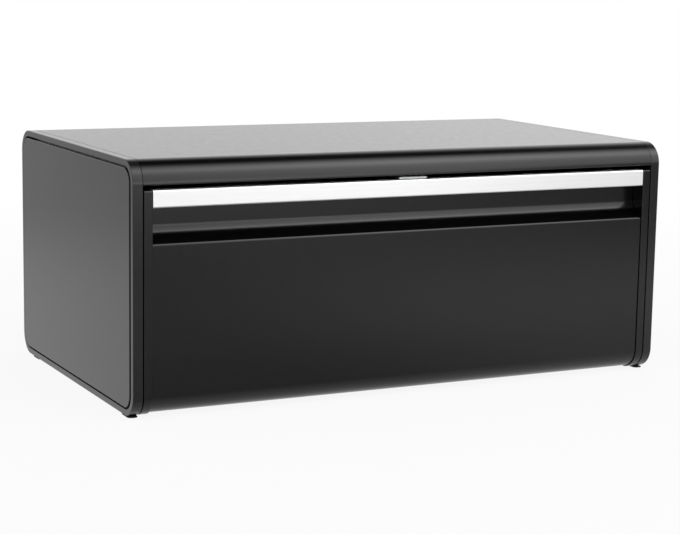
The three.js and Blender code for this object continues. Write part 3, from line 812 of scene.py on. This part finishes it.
def buildHandle():
    strip = {"bend": 1.2, "topReturn": 7, "lowReturn": 3, "edge": 0.2, "rivetHole": (-1.5, 1),
             "brushScale": 100}
    y, bend = handleY, strip["bend"]
    path = [
        (y + strip["lowReturn"], handleLow), (y + bend, handleLow + bend, bend, 270, 180),
        (y + bend, handleTop - bend, bend, 180, 90), (y + strip["topReturn"], handleTop),
    ]
    bm = bentSheet(path, lidEnd, (0, -1, 0), arcSteps=12)
    holes = [rivetHole(side, *strip["rivetHole"], handleTop) for side, _ in sides]
    bm = carved(bm, joined(*holes), sheet)
    brush = bm.loops.layers.uv.new("brush")
    middle = (handleTop + handleLow) / 2
    for face in bm.faces:
        for loop in face.loops:
            x, y, z = loop.vert.co
            up = z + math.copysign(y - handleY, z - middle)     # up the strip and over its returns
            loop[brush].uv = (up / strip["brushScale"], x / strip["brushScale"])
    makePiece(bm, "handle_channel", "stainless_steel", "lid", "handle_strip", edge=strip["edge"],
              edgeSteps=2)


def buildStrike():
    strike = {"width": 24, "front": handleY + 2.2, "depth": 16, "wall": 1.5, "corner": 1.2}
    low, wall = handleTop + gap, strike["wall"]
    half = strike["width"] / 2
    bm = block((-half, half), (strike["front"], strike["front"] + strike["depth"]),
               (low, low + wall))
    bevelWhere(bm, lambda e: abs(e.verts[0].co.z - e.verts[1].co.z) > wall / 2,
               strike["corner"], steps=5)
    holes = [rivetHole(side, -outside, wall + outside, low) for side, _ in sides]
    makePiece(carved(bm, joined(*holes)), "catch_plate", "zinc_plate", "lid", "strike_plate",
              edge=0.2)
    headZ = low + wall + rivet["clear"]
    tail = handleTop - gap - 2 * sheet - rivet["tail"]
    r, chamfer = rivet["radius"], rivet["chamfer"]
    profile = [(tail, 0), (tail, r - chamfer), (tail + chamfer, r), (headZ, r)] + [
        (headZ + rivet["dome"] - x, radius)
        for x, radius in reversed(dome(rivet["head"], rivet["dome"]))
    ]
    for side, word in sides:
        bm = placed(turned(profile, steps=36), alongZ, (rivet["pitch"] / 2, rivet["y"], 0))
        makePiece(bm, f"dome_rivet_{word}", "zinc_plate", "lid", f"strike_rivet_{word}", side,
                  edge=0.06)


def buildCaps():
    cap = {"strip": 11, "topCorner": 1.5, "backCorner": 3, "drop": 10, "slope": 12, "edge": 0.4,
           "screwDepth": 4.1, "pinClear": 0.15}
    slot = {"orbit": 11.5, "half": 2.5, "first": -31.5, "last": 81.5, "depth": 3}
    top, back = cap["topCorner"], cap["backCorner"]
    stripBack = frontY + cap["strip"]
    footZ = faceTop - cap["drop"]
    meet = math.degrees(math.acos((stripBack - pinY) / case["corner"]))
    path = [
        (pinY, pinZ, case["corner"], 180, meet + 360),
        (stripBack, footZ - cap["slope"]), (capBackY, footZ),
        (capBackY - back, handleTop - back, back, 0, 90),
        (frontY + top, handleTop - top, top, 90, 180),
    ]
    groovePath = [
        (pinY, pinZ, slot["orbit"] + slot["half"], slot["first"], slot["last"]),
        (pinY, pinZ, slot["orbit"] - slot["half"], slot["last"], slot["first"]),
    ]
    pinStart, pinRadius = capOuter - hinge["pinInCap"] - gap, hinge["pin"] + cap["pinClear"]
    for side, word in sides:
        bm = pushAlong(fillOutline(path, arcSteps=24), capInner, capOuter)
        bevelWhere(bm, lambda e: atX(e, capInner) or atX(e, capOuter), cap["edge"], steps=3)
        holes = [
            pushAlong(fillOutline(groovePath), capOuter - slot["depth"], capOuter + outside),
            rod(pinStart, capOuter + outside, pinRadius, alongX, hingeLine),
        ]
        start, end = capInner - outside, capInner + cap["screwDepth"]
        for z in capScrew["heights"]:
            holes.append(rod(start, end, capScrew["hole"], alongX, (0, capScrew["y"], z)))
        makePiece(carved(bm, joined(*holes)), f"cap_moulding_{word}", "black_plastic", "lid",
                  f"lid_cap_{word}", side)


buildLidPanel()
buildHandle()
buildStrike()
buildCaps()
print("lid built")

insideParts = {
    "base_tray": {"look": "grey_plastic", "edge": 0.3},
    "front_rail": {"look": "black_plastic", "edge": 0.25},
    "magnet_housing": {"look": "black_plastic", "edge": 0.35},
    "catch_magnet": {"look": "ferrite", "edge": 0.3},
    "pole_plate_front": {"look": "zinc_plate", "edge": 0.12},
    "pole_plate_rear": {"look": "zinc_plate", "edge": 0.12},
}


def dressInsideParts():
    # these parts of the frame keep their shape, and get finishes and softened edges
    for name, part in insideParts.items():
        node = nodes[name]
        node.material_slots[0].material = finishes[part["look"]]
        weld = node.modifiers.new("weld", "WELD")
        weld.merge_threshold = samePoint * mm
        softenEdges(node, part["edge"], steps=2)


dressInsideParts()
print("inside parts dressed")

# turn runs from the front towards the right, height from level upwards, in degrees
lamps = {
    "keySoft": {"turn": 33, "height": 51, "reach": 2.1, "size": (1.2, 0.8), "level": 3.0,
                "inGloss": False},
    "fillSoft": {"turn": -70, "height": 65, "reach": 2.2, "size": (0.5, 0.5), "level": 4.0,
                 "inGloss": True},
}
lampAim = (0, 0, 0.1)


def hangLamp(name, look):
    data = bpy.data.lights.new(name, "AREA")
    data.shape = "RECTANGLE"
    width, depth = look["size"]
    data.size, data.size_y = width, depth
    data.energy = look["level"] * math.pi * width * depth
    lamp = bpy.data.objects.new(name, data)
    scene.collection.objects.link(lamp)
    turn, height, reach = math.radians(look["turn"]), math.radians(look["height"]), look["reach"]
    lamp.location = (
        lampAim[0] + reach * math.cos(height) * math.sin(turn),
        lampAim[1] - reach * math.cos(height) * math.cos(turn),
        lampAim[2] + reach * math.sin(height),
    )
    lamp.rotation_mode = "QUATERNION"
    lamp.rotation_quaternion = (Vector(lampAim) - lamp.location).to_track_quat("-Z", "Y")
    lamp.visible_camera = False
    lamp.visible_glossy = look["inGloss"]


for name, look in lamps.items():
    hangLamp(name, look)
print("lamps placed")


def feed(tree, sockets, values):
    # each value is a number or what another node gives
    for socket, value in zip(sockets, values):
        if isinstance(value, (int, float)):
            socket.default_value = value
        else:
            tree.links.new(value, socket)


def mathOf(tree, operation, first, second):
    node = tree.nodes.new("ShaderNodeMath")
    node.operation = operation
    feed(tree, node.inputs, (first, second))
    return node.outputs[0]


def times(tree, product, *others):
    for other in others:
        product = mathOf(tree, "MULTIPLY", product, other)
    return product


def blended(tree, share, low, high):
    # low where share is 0, high where it is 1
    node = tree.nodes.new("ShaderNodeMix")
    feed(tree, node.inputs[:1] + node.inputs[2:4], (share, low, high))
    return node.outputs[0]


def mixedShader(tree, share, first, second):
    node = tree.nodes.new("ShaderNodeMixShader")
    feed(tree, node.inputs, (share, first, second))
    return node.outputs[0]


def glowing(tree, kind, strength):
    # a white emission or background
    node = tree.nodes.new(kind)
    node.inputs["Color"].default_value = (1, 1, 1, 1)
    feed(tree, [node.inputs["Strength"]], [strength])
    return node.outputs[0]


def cleared(owner, kind):
    # an empty node tree, with the light path and a place or direction, whole and split in three
    owner.use_nodes = True
    tree = owner.node_tree
    tree.nodes.clear()
    ray = tree.nodes.new("ShaderNodeLightPath").outputs
    where = tree.nodes.new("ShaderNodeTexCoord").outputs[kind]
    parts = tree.nodes.new("ShaderNodeSeparateXYZ")
    tree.links.new(where, parts.inputs[0])
    return tree, ray, where, parts.outputs


# each span: (start, end, level at the start, level at the end), in metres from the box's middle
floorLook = {
    "half": 12, "matt": 0.86,
    "seen": (0.35, 1.2, 0.9, 1.0),                  # by the camera, going away from the box
    # painted light and shade that the gloss of the box sees on the floor in front: lighter towards
    # the right along X, a painted shadow of the box near it, darker further out, light far off
    "front": (-0.1, 0.28, 0.46, 0.84), "nearShade": (-0.4, -0.22, 1, 0.8),
    "dip": (-0.5, -0.85, 1, 0.6), "off": (-1.1, -1.5, 0, 1), "frontFar": 1.35,
    "aside": (0.5, 1.0, 1, 0.3),
    # and the painted light beside and behind it: near the box, then from left to right
    "behindNear": 0.84, "away": (0.4, 1.2, 0, 1), "sideways": (-0.4, 0.3, 0.6, 0.95),
    "pastFront": (-0.15, -0.12, 0, 1), "pastLeft": (-0.23, -0.27, 0, 1),
}


def makeFloor():
    look = floorLook
    bm = bmesh.new()
    bmesh.ops.create_grid(bm, x_segments=1, y_segments=1, size=look["half"])
    mesh = bpy.data.meshes.new("floor")
    bm.to_mesh(mesh)
    bm.free()
    floor = bpy.data.objects.new("floor", mesh)
    scene.collection.objects.link(floor)
    material = bpy.data.materials.new("floor")
    material.cycles.emission_sampling = "NONE"
    tree, ray, where, (x, y, _) = cleared(material, "Object")

    def eased(value, key):
        return spread(tree, value, look[key], smooth=True)

    reach = tree.nodes.new("ShaderNodeVectorMath")
    reach.operation = "LENGTH"
    tree.links.new(where, reach.inputs[0])
    far = reach.outputs["Value"]
    diffuse = tree.nodes.new("ShaderNodeBsdfDiffuse")
    diffuse.inputs["Color"].default_value = (look["matt"],) * 3 + (1,)
    matt = diffuse.outputs[0]
    seen = mixedShader(tree, eased(far, "seen"), matt, glowing(tree, "ShaderNodeEmission", 1))
    front = times(tree, eased(x, "front"), eased(y, "nearShade"), eased(y, "dip"))
    front = blended(tree, eased(y, "off"), front, look["frontFar"])
    front = times(tree, front, eased(x, "aside"))
    behind = blended(tree, eased(far, "away"), look["behindNear"], eased(x, "sideways"))
    pastFront, pastLeft = spread(tree, y, look["pastFront"]), spread(tree, x, look["pastLeft"])
    beside = mathOf(tree, "MAXIMUM", pastFront, pastLeft)
    # glossy rays see the floor glow with these painted levels, a painted shadow of the box near it
    # included, in place of the floor's real lighting
    paintedLightInGloss = glowing(tree, "ShaderNodeEmission", blended(tree, beside, front, behind))
    shown = mixedShader(tree, ray["Is Camera Ray"], matt, seen)
    shown = mixedShader(tree, ray["Is Glossy Ray"], shown, paintedLightInGloss)
    out = tree.nodes.new("ShaderNodeOutputMaterial")
    tree.links.new(shown, out.inputs["Surface"])
    mesh.materials.append(material)


makeFloor()
print("floor laid")

# each span: (start, end, level at the start, level at the end), of a direction's X or Z from -1
# to 1, or of how far round the box's long axis it lies: 0 in front, 0.5 overhead, 1 behind
backdrop = {
    "plain": 0.62,
    # what the gloss meets in front of the box, from the floor line up and over: (degrees, level)
    "front": (
        (0, 1.2), (9, 1.7), (20, 1.85), (33, 2.0), (41, 2.2), (49, 2.8), (57, 3.5),
        (63, 3.5), (70, 2.8), (78, 1.9), (86, 0.9), (92, 0.3), (98, 0.04), (110, 0.01),
    ),
    "brightest": 4,                                 # the ramp holds levels as shares of this
    "high": (0.25, 0.48, 0.62, 1.12), "farRight": (0.5, 0.7, 1, 0.6), "low": (0.46, 0.6, 1.9, 0),
    "rise": (0.02, 0.05, 0, 1),
    # and what it meets overhead and behind
    "down": (0.45, 0.83, 1.02, 0), "past": (0.5, 0.62, 0, 1), "across": (0.35, 0.6, 0.96, 1.08),
}


def makeWorld():
    look = backdrop
    world = bpy.data.worlds.new("studio")
    scene.world = world
    world.cycles.sampling_method = "NONE"
    tree, ray, _, (x, y, z) = cleared(world, "Generated")

    def eased(value, key):
        return spread(tree, value, look[key], smooth=True)

    around = mathOf(tree, "ARCTAN2", z, times(tree, y, -1))
    around = mathOf(tree, "DIVIDE", around, math.pi)
    band = tree.nodes.new("ShaderNodeValToRGB")
    stops = band.color_ramp.elements
    for i, (turn, level) in enumerate(look["front"]):
        place = turn / 180                          # a half turn is the ramp's whole length
        stop = stops[i] if i < 2 else stops.new(place)
        stop.position = place
        stop.color = (level / look["brightest"],) * 3 + (1,)
    tree.links.new(around, band.inputs["Fac"])
    high = times(tree, eased(x, "high"), eased(x, "farRight"))
    across = blended(tree, eased(around, "rise"), eased(x, "low"), high)
    front = times(tree, band.outputs["Color"], look["brightest"], across)
    ring = times(tree, eased(z, "down"), eased(around, "past"), eased(x, "across"))
    gloss = glowing(tree, "ShaderNodeBackground", mathOf(tree, "ADD", ring, front))
    plain = glowing(tree, "ShaderNodeBackground", look["plain"])
    white = glowing(tree, "ShaderNodeBackground", 1)
    clear = mathOf(tree, "MAXIMUM", ray["Is Camera Ray"], ray["Is Transmission Ray"])
    shown = mixedShader(tree, ray["Is Glossy Ray"], plain, gloss)
    shown = mixedShader(tree, clear, shown, white)
    out = tree.nodes.new("ShaderNodeOutputWorld")
    tree.links.new(shown, out.inputs["Surface"])


makeWorld()
print("surroundings made")

print("done")
